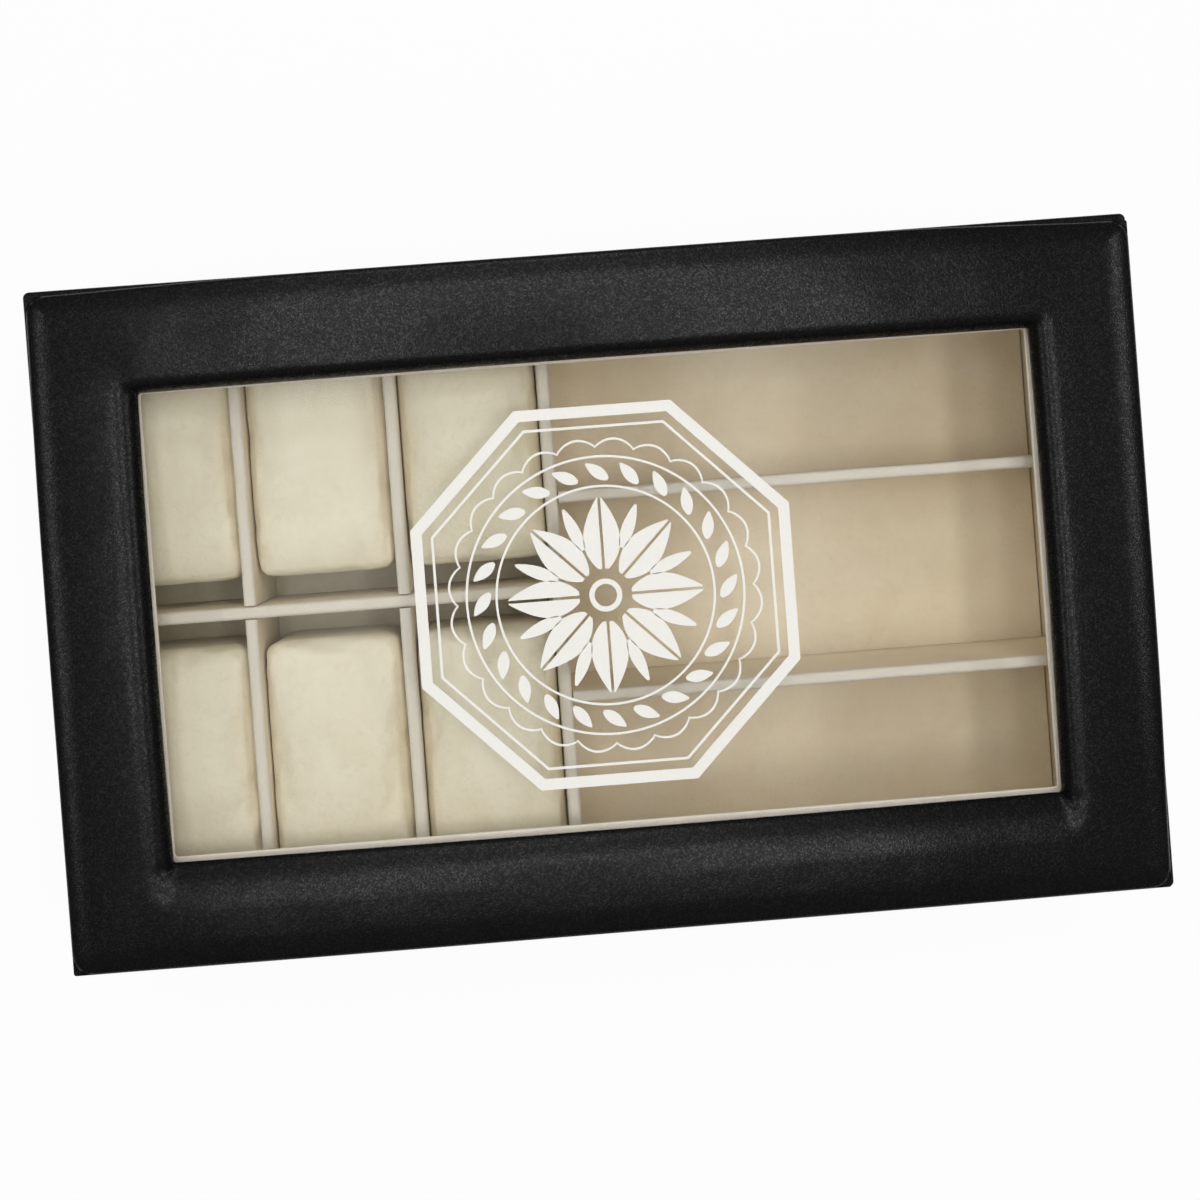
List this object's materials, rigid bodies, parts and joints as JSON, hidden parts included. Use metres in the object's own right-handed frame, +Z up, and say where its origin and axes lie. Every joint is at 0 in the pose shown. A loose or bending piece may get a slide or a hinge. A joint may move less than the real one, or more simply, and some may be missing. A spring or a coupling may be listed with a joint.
{
  "type": "watch and glasses box",
  "caption": "Hinged leather-wrapped case with a padded, glazed lid, lift-out watch pillows in cells and long compartments for glasses.",
  "frame": {"origin": "centre of the felt underside, on the surface the box stands on", "axes": "+X along the length, from the watch cells to the glasses compartments; +Y towards the hinges at the back; +Z up"},
  "size_m": [0.332, 0.207, 0.082],
  "materials": {
    "leather": "satin grained black leatherette",
    "velveteen": "matt beige velveteen",
    "fibreboard": "raw medium density fibreboard",
    "felt": "black felt",
    "glass": "clear, with a frosted ornament",
    "nickel": "nickel plated"
  },
  "bodies": {
    "base": {"underside_felt": "felt", "base_floor_board": "fibreboard", "base_front_board": "fibreboard", "base_back_board": "fibreboard", "base_left_board": "fibreboard", "base_right_board": "fibreboard", "base_leather_wrap": "leather", "watch_bay_floor_pad": "velveteen", "glasses_bay_floor_pad": "velveteen", "lining_front": "velveteen", "lining_back": "velveteen", "lining_left": "velveteen", "lining_right": "velveteen", "main_divider": "velveteen", "cross_divider": "velveteen", "watch_divider_front_left": "velveteen", "watch_divider_front_right": "velveteen", "watch_divider_back_left": "velveteen", "watch_divider_back_right": "velveteen", "glasses_divider_front": "velveteen", "glasses_divider_back": "velveteen", "hinge_left_base_leaf": "nickel", "hinge_left_pin": "nickel", "hinge_left_base_screw_outer": "nickel", "hinge_left_base_screw_inner": "nickel", "hinge_right_base_leaf": "nickel", "hinge_right_pin": "nickel", "hinge_right_base_screw_outer": "nickel", "hinge_right_base_screw_inner": "nickel"},
    "lid": {"lid_front_rail": "fibreboard", "lid_back_rail": "fibreboard", "lid_left_rail": "fibreboard", "lid_right_rail": "fibreboard", "lid_leather_wrap": "leather", "lid_top_board": "fibreboard", "lid_padded_cover": "leather", "glass_pane": "glass", "glass_retainer": "velveteen", "lid_side_lining": "velveteen", "hinge_left_lid_leaf": "nickel", "hinge_left_lid_screw_outer": "nickel", "hinge_left_lid_screw_inner": "nickel", "hinge_right_lid_leaf": "nickel", "hinge_right_lid_screw_outer": "nickel", "hinge_right_lid_screw_inner": "nickel"},
    "pillow_back_left": {"watch_pillow_back_left": "velveteen"},
    "pillow_back_middle": {"watch_pillow_back_middle": "velveteen"},
    "pillow_back_right": {"watch_pillow_back_right": "velveteen"},
    "pillow_front_left": {"watch_pillow_front_left": "velveteen"},
    "pillow_front_middle": {"watch_pillow_front_middle": "velveteen"},
    "pillow_front_right": {"watch_pillow_front_right": "velveteen"}
  },
  "joints": [
    {"name": "lid_hinge", "type": "hinge", "parent": "base", "child": "lid", "pos_m": [0, 0.1033, 0.0581], "axis": [-1, 0, 0], "range_deg": [0, 100]},
    {"name": "pillow_lift_back_left", "type": "slide", "parent": "base", "child": "pillow_back_left", "axis": [0, 0, 1], "range_m": [0, 0.008]},
    {"name": "pillow_lift_back_middle", "type": "slide", "parent": "base", "child": "pillow_back_middle", "axis": [0, 0, 1], "range_m": [0, 0.008]},
    {"name": "pillow_lift_back_right", "type": "slide", "parent": "base", "child": "pillow_back_right", "axis": [0, 0, 1], "range_m": [0, 0.008]},
    {"name": "pillow_lift_front_left", "type": "slide", "parent": "base", "child": "pillow_front_left", "axis": [0, 0, 1], "range_m": [0, 0.008]},
    {"name": "pillow_lift_front_middle", "type": "slide", "parent": "base", "child": "pillow_front_middle", "axis": [0, 0, 1], "range_m": [0, 0.008]},
    {"name": "pillow_lift_front_right", "type": "slide", "parent": "base", "child": "pillow_front_right", "axis": [0, 0, 1], "range_m": [0, 0.008]}
  ]
}
